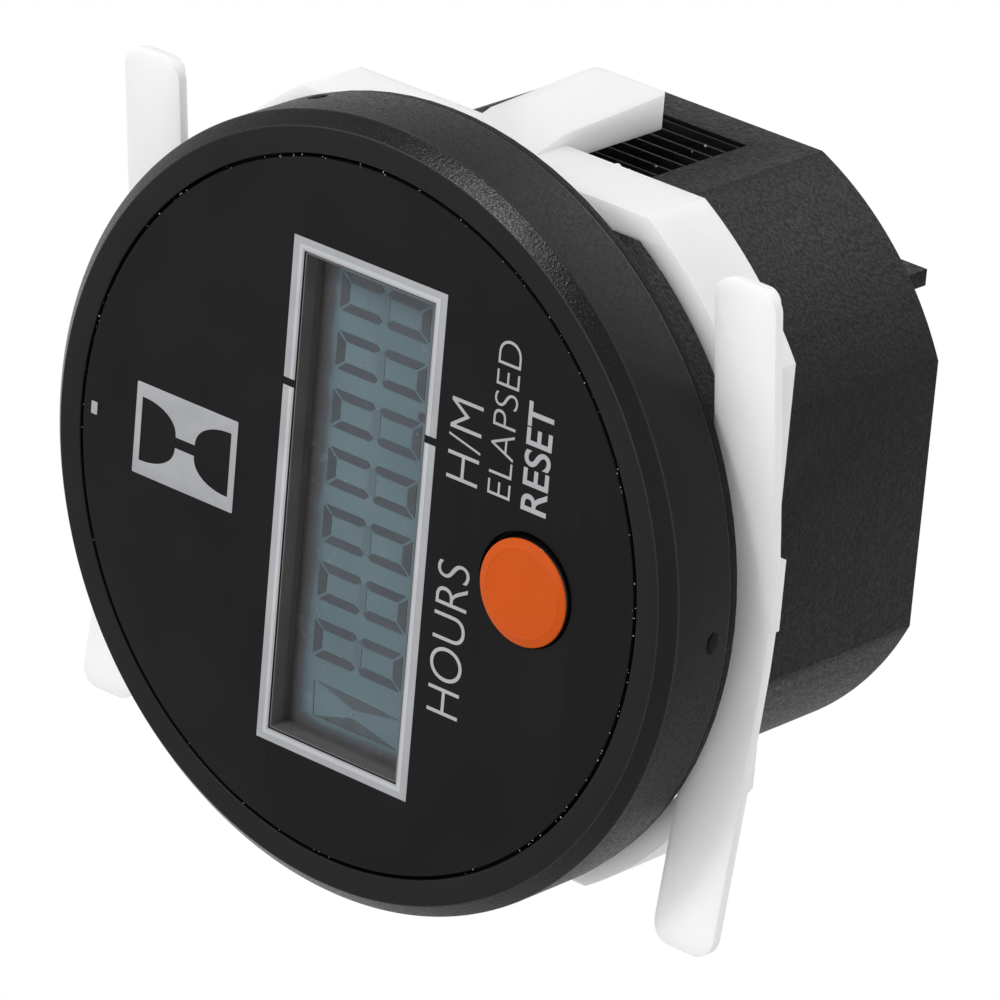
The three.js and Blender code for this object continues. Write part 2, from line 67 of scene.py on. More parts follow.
class Shade:
    """A node material with one Principled shader and short helpers for wiring it."""

    def __init__(self, name, roughness=0.5, metallic=0.0, specular=0.5):
        self.mat = bpy.data.materials.new(name)
        self.mat.use_nodes = True
        self.tree = self.mat.node_tree
        self.bsdf = self.tree.nodes["Principled BSDF"]
        self.bsdf.inputs["Roughness"].default_value = roughness
        self.bsdf.inputs["Metallic"].default_value = metallic
        self.bsdf.inputs["Specular IOR Level"].default_value = specular
        self.coords = self.tree.nodes.new("ShaderNodeTexCoord").outputs["Object"]

    def node(self, kind, **settings):
        made = self.tree.nodes.new(kind)
        for key, value in settings.items():
            setattr(made, key, value)
        return made

    def link(self, a, b):
        self.tree.links.new(a, b)

    def noise(self, scale, detail=3.0, rough=0.5):
        n = self.node("ShaderNodeTexNoise")
        n.inputs["Scale"].default_value = scale
        n.inputs["Detail"].default_value = detail
        n.inputs["Roughness"].default_value = rough
        self.link(self.coords, n.inputs["Vector"])
        return n.outputs["Fac"]

    def ramp(self, source, *stops):
        r = self.node("ShaderNodeValToRGB")
        while len(r.color_ramp.elements) < len(stops):
            r.color_ramp.elements.new(0.5)
        for element, (place, colour) in zip(r.color_ramp.elements, stops):
            element.position = place
            element.color = (*colour, 1.0)
        self.link(source, r.inputs["Fac"])
        return r.outputs["Color"]

    def span(self, source, a, b, lo, hi):
        m = self.node("ShaderNodeMapRange", interpolation_type="SMOOTHSTEP")
        for key, value in (("From Min", a), ("From Max", b), ("To Min", lo), ("To Max", hi)):
            m.inputs[key].default_value = value
        self.link(source, m.inputs["Value"])
        return m.outputs["Result"]

    def axes(self):
        s = self.node("ShaderNodeSeparateXYZ")
        self.link(self.coords, s.inputs["Vector"])
        return s.outputs

    def maths(self, operation, a, b):
        m = self.node("ShaderNodeMath", operation=operation)
        for socket, value in zip(m.inputs, (a, b)):
            if isinstance(value, (int, float)):
                socket.default_value = value
            else:
                self.link(value, socket)
        return m.outputs["Value"]

    def mix(self, fac, a, b):
        m = self.node("ShaderNodeMix", data_type="RGBA")
        self.link(fac, m.inputs["Factor"])
        for key, value in ((6, a), (7, b)):
            if isinstance(value, tuple):
                m.inputs[key].default_value = (*value, 1.0)
            else:
                self.link(value, m.inputs[key])
        return m.outputs[2]

    def bump(self, source, distance, strength=1.0):
        b = self.node("ShaderNodeBump")
        b.inputs["Distance"].default_value = distance
        b.inputs["Strength"].default_value = strength
        self.link(source, b.inputs["Height"])
        self.link(b.outputs["Normal"], self.bsdf.inputs["Normal"])

    def colour(self, source):
        self.link(source, self.bsdf.inputs["Base Color"])

    def roughness(self, source):
        self.link(source, self.bsdf.inputs["Roughness"])


def srgb(r, g, b):
    """0-255 display values to the linear values that shaders use."""
    def linear(v):
        v /= 255
        return v / 12.92 if v <= 0.04045 else ((v + 0.055) / 1.055) ** 2.4
    return tuple(linear(v) for v in (r, g, b))


def mottled(name, dark, light, scale, roughness, metallic=0.0, bump=0.0, bump_scale=None,
            vary=0.06, specular=0.5):
    """Moulded or coated surface: soft colour variation, uneven gloss and a fine grain."""
    s = Shade(name, roughness, metallic, specular)
    s.colour(s.ramp(s.noise(scale), (0.3, dark), (0.7, light)))
    s.roughness(s.span(s.noise(scale * 3), 0.3, 0.7, roughness - vary, roughness + vary))
    if bump:
        s.bump(s.noise(bump_scale or scale * 6, 2.0), bump)
    return s.mat


# ------------------------------------------------------------------ materials


def spark_black(name, grain, depth, base=(14, 14, 15), roughness=0.52, specular=0.32, peak_highlight=10):
    """Black plastic from a spark-eroded mould: coarse grain whose tops are smoother and painted
    lighter, a painted highlight where they catch the light.
    """
    s = Shade(name, roughness, specular=specular)
    grains = s.noise(grain, 3.0, 0.6)
    worn = s.noise(90, 3.0)
    body = s.mix(s.span(worn, 0.35, 0.75, 0.0, 1.0), srgb(*base), srgb(*(v + 6 for v in base)))
    # painted highlight: the grain's tops are coloured lighter than the body
    s.colour(s.mix(s.span(grains, 0.58, 0.72, 0.0, 1.0), body, srgb(*(v + peak_highlight for v in base))))
    s.roughness(s.span(grains, 0.3, 0.7, roughness + 0.1, roughness - 0.12))
    s.bump(grains, depth, 0.9)
    return s.mat


HOUSING_BLACK = spark_black("housing_black", 3400, 0.00008, (9, 9, 10), 0.48, 0.155, 7)
BEZEL_BLACK = spark_black("bezel_black", 4200, 0.00001, (10, 10, 11), 0.44, 0.2, 4)
CHAMFER_BLACK = spark_black("chamfer_black", 4800, 0.00005, (5, 5, 6), 0.24, 0.26, 3)
# painted highlight: a lighter black for the rim's corners, which are also smoother and glossier
EDGE_HIGHLIGHT_BLACK = spark_black("edge_highlight_black", 3600, 0.00003, (18, 18, 19), 0.26, 0.4, 6)


def dial_material():
    s = Shade("dial_black", 0.55, specular=0.125)
    s.colour(s.ramp(s.noise(60, 2.0), (0.35, srgb(13, 13, 14)), (0.7, srgb(18, 18, 19))))
    s.roughness(s.span(s.noise(140, 3.0), 0.3, 0.7, 0.5, 0.62))
    s.bump(s.noise(5200, 2.0), 0.000008, 0.5)
    return s.mat


def lcd_material():
    """Display glass: teal where the panel is lit through, with painted shade from the window's walls
    turning it dark grey towards its top and left.
    """
    s = Shade("lcd_panel", 0.22, specular=0.25)
    axes = s.axes()
    wander = s.span(s.noise(260, 2.0), 0.3, 0.7, -0.00025, 0.00025)
    height = s.maths("ADD", axes["Z"], wander)
    across = s.maths("ADD", axes["X"], wander)
    # painted shade: the panel darkens towards its top and left, where the window's walls would shade it
    top = s.span(height, 0.0038, 0.0066, 0.0, 1.0)
    left = s.span(across, -0.0168, -0.0190, 0.0, 0.85)
    edge = s.maths("MAXIMUM", top, left)
    teal = s.ramp(s.noise(120, 2.0), (0.3, srgb(98, 117, 125)), (0.7, srgb(108, 129, 136)))
    painted_wall_shade = s.ramp(edge, (0.25, srgb(92, 101, 108)), (0.6, srgb(90, 89, 92)), (1.0, srgb(80, 79, 79)))
    s.colour(s.mix(s.span(edge, 0.0, 0.4, 0.0, 1.0), teal, painted_wall_shade))
    s.roughness(s.span(s.noise(400, 2.0), 0.3, 0.7, 0.18, 0.28))
    return s.mat


def clear_lens():
    """Clear window: mostly see-through, with a thin haze and a soft gloss."""
    s = Shade("clear_lens", 0.1, specular=0.5)
    s.colour(s.ramp(s.noise(240, 3.0), (0.3, srgb(16, 18, 19)), (0.7, srgb(30, 33, 34))))
    s.roughness(s.span(s.noise(300, 3.0), 0.45, 0.8, 0.06, 0.16))
    s.bsdf.inputs["Alpha"].default_value = 0.07
    return s.mat


def nylon():
    """Natural nylon: white, waxy, lets a little light into thin edges."""
    s = Shade("white_nylon", 0.42, specular=0.4)
    s.colour(s.ramp(s.noise(70, 3.0), (0.3, srgb(231, 231, 231)), (0.7, srgb(238, 238, 238))))
    s.roughness(s.span(s.noise(300, 3.0), 0.3, 0.7, 0.36, 0.5))
    s.bump(s.noise(900, 3.0), 0.00003, 0.35)
    s.bsdf.inputs["Subsurface Weight"].default_value = 0.6
    s.bsdf.inputs["Subsurface Radius"].default_value = (0.004, 0.004, 0.0038)
    s.bsdf.inputs["Subsurface Scale"].default_value = 1.0
    return s.mat


def striped(name, a, b, pitch):
    s = Shade(name, 0.7)
    wave = s.node("ShaderNodeTexWave", bands_direction="X")
    wave.inputs["Scale"].default_value = 1 / (pitch * 6.283)
    s.link(s.coords, wave.inputs["Vector"])
    s.colour(s.ramp(wave.outputs["Fac"], (0.4, a), (0.6, b)))
    return s.mat


DIAL_BLACK = dial_material()
LCD_PANEL = lcd_material()
LENS = clear_lens()
NYLON = nylon()
SEGMENT = mottled("lcd_segment", srgb(69, 75, 81), srgb(76, 82, 88), 300, 0.4)
SEGMENT_FAINT = mottled("lcd_segment_faint", srgb(89, 105, 113), srgb(94, 111, 119), 120, 0.4)
GLYPH = mottled("lcd_glyph", srgb(76, 84, 90), srgb(84, 94, 99), 300, 0.3)
SILVER = mottled("silver_print", srgb(150, 151, 155), srgb(162, 163, 167), 220, 0.5,
                 bump=0.000006, bump_scale=3000)
# painted highlight: a brighter copy of the silver print, for the frame's raised inner line
SILVER_HIGHLIGHT = mottled("silver_print_highlight", srgb(172, 173, 177), srgb(182, 183, 187), 220, 0.42)
ORANGE = mottled("orange_cap", srgb(188, 73, 1), srgb(197, 79, 2), 110, 0.4,
                 bump=0.00001, bump_scale=1800, specular=0.16)
LEGEND = mottled("legend_ink", srgb(156, 157, 160), srgb(166, 167, 170), 220, 0.5)
GLOSS_BLACK = mottled("gloss_black", srgb(12, 12, 13), srgb(18, 18, 19), 200, 0.12, vary=0.03)
# painted shade: the liner's grey matches the shaded edge of the display
LINER = mottled("window_liner", srgb(84, 82, 81), srgb(93, 91, 90), 260, 0.6)
BOARD = mottled("solder_mask", srgb(20, 70, 38), srgb(28, 88, 48), 200, 0.35, 0, 0.00001)
CHIP = mottled("chip_epoxy", srgb(22, 22, 24), srgb(32, 32, 34), 800, 0.55, 0, 0.00001)
STEEL = mottled("plated_steel", srgb(168, 170, 174), srgb(190, 192, 196), 400, 0.3, 1.0, 0.000005)
TINNED = mottled("tinned_tab", srgb(186, 182, 166), srgb(206, 203, 190), 350, 0.4, 1.0, 0.000002)
GREY = mottled("grey_moulding", srgb(74, 76, 78), srgb(86, 88, 90), 200, 0.5, 0, 0.00001)
FILM = mottled("reflector", srgb(185, 190, 193), srgb(200, 205, 208), 300, 0.35, 0.6)
ZEBRA = striped("zebra_rubber", srgb(40, 40, 40), srgb(150, 150, 140), 0.0004)
YELLOW = mottled("film_box", srgb(205, 165, 45), srgb(218, 180, 60), 150, 0.4, 0, 0.00001)
SLEEVE = mottled("capacitor_sleeve", srgb(24, 42, 80), srgb(34, 56, 98), 150, 0.3)
DISC = mottled("varistor_coat", srgb(36, 84, 160), srgb(50, 98, 176), 220, 0.45, 0, 0.00002)
RESISTOR = mottled("resistor_coat", srgb(130, 138, 142), srgb(148, 154, 158), 260, 0.55, 0, 0.00002)
DUST = mottled("dust", srgb(150, 146, 138), srgb(190, 186, 178), 2000, 0.9)

# ------------------------------------------------------------------ mesh helpers


def finish_mesh(name, mesh, material, body, node=None, slot=None, smooth=30):
    obj = bpy.data.objects.new(name, mesh)
    bpy.context.scene.collection.objects.link(obj)
    if not mesh.materials:
        mesh.materials.append(material)
    for polygon in mesh.polygons:
        polygon.use_smooth = True
    mesh.set_sharp_from_angle(angle=math.radians(smooth))
    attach(obj, body)
    if node:
        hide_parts(node)
    return obj


def lathe(name, profile, material, body, at=(0, 0), segments=256, band=None, **extra):
    """Turns a closed [radius, y] profile, in millimetres, about a line along Y."""
    bm = bmesh.new()
    rings = []
    for radius, y in profile:
        if radius < 1e-6:
            rings.append([bm.verts.new((at[0] * MM, y * MM, at[1] * MM))])
            continue
        ring = []
        for k in range(segments):
            angle = 2 * math.pi * k / segments
            x = at[0] + radius * math.cos(angle)
            z = at[1] + radius * math.sin(angle)
            ring.append(bm.verts.new((x * MM, y * MM, z * MM)))
        rings.append(ring)
    for index in range(len(rings)):
        a, b = rings[index], rings[(index + 1) % len(rings)]
        if len(a) == 1 and len(b) == 1:
            continue
        for k in range(segments):
            n = (k + 1) % segments
            if len(a) == 1:
                corners = (a[0], b[k], b[n])
            elif len(b) == 1:
                corners = (a[k], b[0], a[n])
            else:
                corners = (a[k], b[k], b[n], a[n])
            face = bm.faces.new(corners)
            if band and index in band:
                face.material_index = band[index]
    bmesh.ops.recalc_face_normals(bm, faces=bm.faces)
    mesh = bpy.data.meshes.new(name)
    bm.to_mesh(mesh)
    bm.free()
    if band:
        for entry in (material, *extra.pop("band_materials")):
            mesh.materials.append(entry)
    return finish_mesh(name, mesh, material, body, **extra)


def rounded(profile, radius, steps=5):
    """The profile with each of its corners turned into an arc."""
    made = []
    for i, corner in enumerate(profile):
        before = Vector(profile[i - 1]) - Vector(corner)
        after = Vector(profile[(i + 1) % len(profile)]) - Vector(corner)
        r = radius[i] if isinstance(radius, (list, tuple)) else radius
        if r <= 0:
            made.append(tuple(corner))
            continue
        half = before.angle(after) / 2
        reach = min(r / math.tan(half), before.length * 0.49, after.length * 0.49)
        start = Vector(corner) + before.normalized() * reach
        end = Vector(corner) + after.normalized() * reach
        for k in range(steps + 1):
            t = k / steps
            made.append(tuple(start.lerp(Vector(corner), t).lerp(Vector(corner).lerp(end, t), t)))
    return made


def flat_solid(name, outlines, y0, y1, material, body, bevel=0.0, smooth=30, **extra):
    """Closed outlines in X and Z, holes allowed, filled and thickened from y0 to y1 (mm)."""
    curve = bpy.data.curves.new(name, "CURVE")
    curve.dimensions = "2D"
    curve.fill_mode = "BOTH"
    curve.extrude = ((y1 - y0) / 2 - bevel) * MM
    curve.bevel_depth = bevel * MM
    curve.bevel_resolution = 2
    curve.offset = -bevel * MM
    for outline in outlines:
        spline = curve.splines.new("POLY")
        spline.points.add(len(outline) - 1)
        for point, (x, z) in zip(spline.points, outline):
            point.co = (x * MM, z * MM, 0, 1)
        spline.use_cyclic_u = True
    return from_curve(name, curve, (y0 + y1) / 2, material, body, smooth, **extra)


def from_curve(name, curve, y, material, body, smooth=30, **extra):
    """A flat curve or text turned to face -Y and made into a mesh with no loose parts."""
    holder = bpy.data.objects.new(name + "_curve", curve)
    bpy.context.scene.collection.objects.link(holder)
    bpy.context.view_layer.update()
    evaluated = holder.evaluated_get(bpy.context.evaluated_depsgraph_get())
    mesh = bpy.data.meshes.new_from_object(evaluated)
    bpy.data.objects.remove(holder)
    place = Matrix.Translation((0, y * MM, 0))
    mesh.transform(place @ Matrix.Rotation(math.pi / 2, 4, "X"))
    bm = bmesh.new()
    bm.from_mesh(mesh)
    bmesh.ops.remove_doubles(bm, verts=bm.verts, dist=1e-7)
    bmesh.ops.recalc_face_normals(bm, faces=bm.faces)
    bm.to_mesh(mesh)
    bm.free()
    mesh.materials.clear()
    return finish_mesh(name, mesh, material, body, smooth=smooth, **extra)


def circle(cx, cz, radius, count=96):
    turns = [2 * math.pi * k / count for k in range(count)]
    return [(cx + radius * math.cos(turn), cz + radius * math.sin(turn)) for turn in turns]


def rectangle(x0, x1, z0, z1, radius=0.0):
    corners = [(x0, z0), (x1, z0), (x1, z1), (x0, z1)]
    return rounded(corners, radius, 4) if radius else corners


# ------------------------------------------------------------------ front of the meter

RING_IN = DIAL_R + 0.27
ring_corners = [
    (RING_IN, FACE_Y), (BEZEL_R - 1.05, FACE_Y), (BEZEL_R, FACE_Y + 1.0), (BEZEL_R, -0.8),
    (27.75, -0.8), (27.75, FACE_Y + 1.3), (RING_IN, FACE_Y + 1.3),
]
ring_profile = rounded(ring_corners, [0.12, 0.16, 0.2, 0.12, 0.1, 0.1, 0.1])
# each rounded corner is five steps long and one more step leads to the next corner; the rim's three
# corners carry a lighter black as a painted highlight, and the step after the first of them is the
# coarse chamfer
STEPS = 6
EDGE_HIGHLIGHT, CHAMFER = 2, 1
RIM_BANDS = {corner * STEPS + step: EDGE_HIGHLIGHT for corner in (1, 2, 3) for step in range(STEPS - 1)}
RIM_BANDS[2 * STEPS - 1] = CHAMFER
lathe("bezel_ring_turned", ring_profile, BEZEL_BLACK, "meter", segments=288, band=RIM_BANDS,
      band_materials=(CHAMFER_BLACK, EDGE_HIGHLIGHT_BLACK), node="bezel_ring", slot="black_plastic", smooth=50)

dial_outlines = [
    circle(0, 0, DIAL_R, 288),
    rectangle(-WINDOW[0] / 2, WINDOW[0] / 2, -WINDOW[1] / 2, WINDOW[1] / 2, 0.15),
    circle(*BUTTON, BUTTON_HOLE_R, 96),
]
flat_solid("dial_face", dial_outlines, FACE_Y, FACE_Y + DIAL_THICK, DIAL_BLACK, "meter",
           bevel=0.07, node="dial_plate", slot="dial_black")
dial_rim_corners = [
    (25.5, -6.45), (26.6, -6.45), (26.6, -6.0), (27.45, -6.0), (27.45, -5.2), (25.5, -5.2),
]
lathe("dial_rim", rounded(dial_rim_corners, 0.08), DIAL_BLACK, "meter", segments=192, slot="dial_black")

# a glossy sleeve carries the button's hole on behind the dial
well_corners = [
    (BUTTON_HOLE_R, FACE_Y + 0.95), (BUTTON_HOLE_R + 0.5, FACE_Y + 0.95),
    (BUTTON_HOLE_R + 0.5, -6.28), (BUTTON_HOLE_R, -6.28),
]
lathe("button_well", rounded(well_corners, 0.04), GLOSS_BLACK, "meter", at=BUTTON, segments=96,
      slot="dial_black")

# the cap's orange face is a thin inlay, with a wide shallow bevel, on a glossy black skirt
# that carries the collar and the stem; it sits a little to one side in its hole
CAP_TOP = FACE_Y - 0.42
CAP_THICK = 0.24
CAP_AT = (BUTTON[0] - 0.18, BUTTON[1])
SKIRT_R = BUTTON_R + 0.04
BEAD_R = 3.33                       # fine raised ring between the cap's flat and its bevel
cap_corners = [
    (0, CAP_TOP), (BEAD_R - 0.09, CAP_TOP), (BEAD_R, CAP_TOP - 0.03), (BEAD_R + 0.09, CAP_TOP),
    (BUTTON_R - 0.05, CAP_TOP + 0.14), (BUTTON_R, CAP_TOP + CAP_THICK), (0, CAP_TOP + CAP_THICK),
]
lathe("reset_button_cap", rounded(cap_corners, [0, 0.1, 0.05, 0.1, 0.08, 0.02, 0]), ORANGE, "button",
      at=CAP_AT, segments=128, node="reset_button", slot="orange_plastic", smooth=45)
skirt_corners = [
    (0, CAP_TOP + 0.25), (BUTTON_R - 0.03, CAP_TOP + 0.25), (SKIRT_R, CAP_TOP + 0.42), (SKIRT_R, -6.2),
    (5.1, -6.2), (5.1, -5.65), (1.55, -5.65), (1.55, -5.08), (0, -5.08),
]
skirt_profile = rounded(skirt_corners, [0, 0.03, 0.16, 0.1, 0.1, 0.1, 0.1, 0.05, 0])
lathe("reset_button_skirt", skirt_profile, GLOSS_BLACK, "button", at=CAP_AT, segments=128,
      slot="orange_plastic", smooth=45)

# ------------------------------------------------------------------ silver print

PRINT_Y0 = FACE_Y - PRINT_PROUD
PRINT_Y1 = FACE_Y + 0.02


def silver(name, outlines, proud=0.0, material=SILVER):
    return flat_solid(name, outlines, PRINT_Y0 - proud, PRINT_Y1, material, "meter",
                      bevel=0.01, slot="dial_black")


def half_frame(x_gap, side, half_x, half_z, width):
    """One half of a rectangular frame, from a gap in it round the left (-1) or right (1) end."""
    far_in, far_out = side * half_x, side * (half_x + width[0])
    z_out = half_z + width[1]
    if side < 0:
        return [[(x_gap, z_out), (far_out, z_out), (far_out, -z_out), (x_gap, -z_out),
                 (x_gap, -half_z), (far_in, -half_z), (far_in, half_z), (x_gap, half_z)]]
    return [[(x_gap, half_z), (far_in, half_z), (far_in, -half_z), (x_gap, -half_z),
             (x_gap, -z_out), (far_out, -z_out), (far_out, z_out), (x_gap, z_out)]]


FRAME = (18.76, 6.32)                # half the frame's opening, in X and Z
FRAME_WIDTH = (0.98, 1.05)
GAP_LEFT, GAP_RIGHT = 8.13, 8.73     # the frame is broken between these
silver("window_frame_left", half_frame(GAP_LEFT, -1, *FRAME, FRAME_WIDTH))
silver("window_frame_right", half_frame(GAP_RIGHT, 1, *FRAME, FRAME_WIDTH))
# a raised line along the frame's inner half, painted brighter than the print as a painted highlight on
# the embossed edge
LINE = (FRAME[0] + 0.14, FRAME[1] + 0.14)
LINE_WIDTH = (0.32, 0.32)
LINE_PROUD = 0.02
silver("window_line_left", half_frame(GAP_LEFT, -1, *LINE, LINE_WIDTH), LINE_PROUD, SILVER_HIGHLIGHT)
silver("window_line_right", half_frame(GAP_RIGHT, 1, *LINE, LINE_WIDTH), LINE_PROUD, SILVER_HIGHLIGHT)
silver("top_tick", [rectangle(-0.27, 0.73, 25.27, 25.87, 0.08)])

# hourglass pictogram: a silver plate with a black hourglass left open in it
ICON = (0.17, 16.4)
ICON_HALF = (3.6, 5.03)
GLASS_HALF = (2.5, 4.45)


def glass_flank():
    """The right flank of the hourglass's upper bulb, from its shoulder down to the neck."""
    points = []
    for k in range(13):
        angle = math.pi / 2 * k / 12
        points.append((0.42 + 2.08 * math.cos(angle) ** 0.9, 4.3 - 3.35 * math.sin(angle)))
    return points


right = glass_flank()
left = [(-x, z) for x, z in reversed(right)]
glass = [(-GLASS_HALF[0], GLASS_HALF[1]), GLASS_HALF, *right]
glass += [(x, -z) for x, z in reversed(right)]
glass += [(GLASS_HALF[0], -GLASS_HALF[1]), (-GLASS_HALF[0], -GLASS_HALF[1])]
glass += [(x, -z) for x, z in reversed(left)] + left
silver("hourglass_sign", [
    rectangle(ICON[0] - ICON_HALF[0], ICON[0] + ICON_HALF[0],
              ICON[1] - ICON_HALF[1], ICON[1] + ICON_HALF[1], 0.12),
    [(ICON[0] + x, ICON[1] + z) for x, z in glass],
])


def legend(name, words, x0, x1, z0, z1, weight=-0.00004):
    """Generic function words in plain letters, stretched to the space they take on the dial."""
    text = bpy.data.curves.new(name, "FONT")
    text.body = words
    text.size = 0.003
    text.offset = weight
    text.extrude = (PRINT_Y1 - PRINT_Y0) / 2 * MM
    obj = from_curve(name, text, (PRINT_Y0 + PRINT_Y1) / 2, LEGEND, "meter", slot="dial_black")
    xs = [v.co.x for v in obj.data.vertices]
    zs = [v.co.z for v in obj.data.vertices]
    sx = (x1 - x0) * MM / (max(xs) - min(xs))
    sz = (z1 - z0) * MM / (max(zs) - min(zs))
    for v in obj.data.vertices:
        v.co.x = x0 * MM + (v.co.x - min(xs)) * sx
        v.co.z = z0 * MM + (v.co.z - min(zs)) * sz


legend("legend_hours", "HOURS", -11.87, 0.02, -11.55, -8.55)
legend("legend_h_m", "H/M", 6.29, 12.47, -11.55, -8.55)
legend("legend_elapsed", "ELAPSED", 6.36, 18.2, -14.6, -12.45, -0.00005)
legend("legend_reset", "RESET", 6.17, 14.45, -18.03, -15.6, 0.00003)

# ------------------------------------------------------------------ display

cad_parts["lcd_glass"].data.materials.clear()
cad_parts["lcd_glass"].data.materials.append(LCD_PANEL)
SEG_Y0, SEG_Y1 = LCD_Y - 0.035, LCD_Y + 0.01
DIGIT_RIGHTS = (17.4, 12.87, 8.35, 3.82, -0.7, -5.23, -9.75)
DIGIT_W, DIGIT_H = 2.98, 4.3         # width, and height above the middle
SIDE, BAR = 0.68, 0.82               # widths of the upright and the level segments
OUTER_GAP, INNER_GAP = 0.16, 0.1     # how far a level bar's ends stay inside the uprights
DECIMAL_POINT = (8.82, -4.2)

# seven digit cells, as they show while the display is off: the level bars at both ends and the four
# uprights are dark, and the middle bar is faint
dark, faint = [], []
for edge in DIGIT_RIGHTS:
    x = edge - DIGIT_W
    bar_in = DIGIT_H - BAR
    for sign in (1, -1):
        dark.append([
            (x + OUTER_GAP, sign * DIGIT_H), (edge - OUTER_GAP, sign * DIGIT_H),
            (edge - SIDE - INNER_GAP, sign * bar_in), (x + SIDE + INNER_GAP, sign * bar_in),
        ])
        for base, inward in ((x, 1), (edge, -1)):
            inner = base + inward * SIDE
            dark.append([
                (base, sign * (DIGIT_H - 0.2)), (inner, sign * (bar_in - 0.16)),
                (inner, sign * 0.68), (base + inward * 0.34, sign * 0.2), (base, sign * 0.5),
            ])
    faint.append([(x + SIDE - 0.1, 0.38), (edge - SIDE + 0.1, 0.38), (edge - SIDE + 0.25, 0.02),
                  (edge - SIDE + 0.1, -0.38), (x + SIDE - 0.1, -0.38), (x + SIDE - 0.25, 0.02)])
dark.append(circle(*DECIMAL_POINT, 0.36, 28))
flat_solid("lcd_digits", dark, SEG_Y0, SEG_Y1, SEGMENT, "meter", slot="lcd_glass")
flat_solid("lcd_middle_bars", faint, SEG_Y0, SEG_Y1, SEGMENT_FAINT, "meter", slot="lcd_glass")
# the display's own hourglass, lying at its left end
flat_solid("lcd_hourglass", [
    [(-14.6, 3.5), (-15.15, 1.5), (-15.6, 0.0), (-15.3, -2.0), (-14.9, -4.4),
     (-14.72, -1.5), (-14.65, 1.0)],
    [(-17.4, 3.7), (-17.3, -4.4), (-16.75, -2.0), (-16.35, 0.0), (-16.8, 1.6)],
    [(-17.4, 3.84), (-14.6, 3.96), (-14.6, 3.88), (-17.4, 3.76)],
], SEG_Y0, SEG_Y1, GLYPH, "meter", slot="lcd_glass")

LENS_HALF = (18.5, 6.1)
lens_outline = rectangle(-LENS_HALF[0], LENS_HALF[0], -LENS_HALF[1], LENS_HALF[1], 0.2)
flat_solid("window_lens_clear", [lens_outline], FACE_Y + 1.2, LCD_Y - 0.22, LENS, "meter",
           bevel=0.05, node="window_lens", slot="clear_plastic")


def inside_window(margin, radius):
    """The window's outline, moved inwards by a margin."""
    half_x, half_z = WINDOW[0] / 2 - margin, WINDOW[1] / 2 - margin
    return rectangle(-half_x, half_x, -half_z, half_z, radius)


# a thin dark liner edges the opening, so the dial's cut edge does not show; its grey is painted shade,
# matching the painted shade at the display's edge
flat_solid("window_liner", [inside_window(0.02, 0.15), inside_window(0.12, 0.1)],
           FACE_Y + 0.06, LCD_Y - 0.04, LINER, "meter", slot="dial_black")

# ------------------------------------------------------------------ housing and clip


def dressed(node, material, bevel, angle=28):
    """A CAD piece with its flat faces cleaned, its edges softened and its own material."""
    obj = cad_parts[node]
    obj.data.materials.clear()
    obj.data.materials.append(material)
    for polygon in obj.data.polygons:
        polygon.material_index = 0
        polygon.use_smooth = True
    weld = obj.modifiers.new("weld", "WELD")
    weld.merge_threshold = 2e-6
    flat = obj.modifiers.new("flatten", "DECIMATE")
    flat.decimate_type = "DISSOLVE"
    flat.angle_limit = math.radians(0.6)
    soft = obj.modifiers.new("soften", "BEVEL")
    soft.width = bevel * MM
    soft.segments = 3
    soft.limit_method = "ANGLE"
    soft.angle_limit = math.radians(angle)
    soft.harden_normals = True


dressed("housing", HOUSING_BLACK, 0.12)
dressed("mounting_clip", NYLON, 0.28, 24)
dressed("terminal_left", TINNED, 0.1)
dressed("terminal_right", TINNED, 0.1)

PLAIN = {
    "lcd_reflector": FILM, "lcd_holder": GREY, "zebra_strip_upper": ZEBRA, "zebra_strip_lower": ZEBRA,
    "display_pcb": BOARD, "power_pcb": BOARD, "tact_switch_body": CHIP, "tact_switch_plunger": GREY,
    "mcu_chip": CHIP, "eeprom_chip": CHIP, "crystal_can": STEEL, "pin_header": CHIP,
    "film_capacitor": YELLOW, "electrolytic_capacitor": SLEEVE, "bridge_rectifier": CHIP,
    "varistor_disc": DISC, "fuse_resistor": RESISTOR, "pcb_spacer_left": GREY, "pcb_spacer_right": GREY,
    "stack_screw_left": STEEL, "stack_screw_right": STEEL,
}
for node, material in PLAIN.items():
    dressed(node, material, 0.05)

# ------------------------------------------------------------------ moulding marks and dust


def gate_mark(name, angle):
    """The rough scar where the bezel ring's rim was filled, standing just proud of it."""
    bm = bmesh.new()
    bmesh.ops.create_uvsphere(bm, u_segments=20, v_segments=12, radius=1.0)
    for v in bm.verts:
        rough = 1 + rng.uniform(-0.16, 0.16)
        v.co = Vector((v.co.x * 0.13, v.co.y * 0.62 * rough, v.co.z * 0.75 * rough)) * MM
    turn = Matrix.Rotation(-angle, 4, "Y")
    onto_rim = Matrix.Translation((BEZEL_R * MM, -2.5 * MM, 0))
    bmesh.ops.transform(bm, verts=bm.verts, matrix=turn @ onto_rim)
    mesh = bpy.data.meshes.new(name)
    bm.to_mesh(mesh)
    bm.free()
    finish_mesh(name, mesh, DIAL_BLACK, "meter", slot="black_plastic", smooth=60)


gate_mark("gate_mark_side", math.atan2(10.4, 27.7))
gate_mark("gate_mark_bottom", math.atan2(-29.1, -0.6))


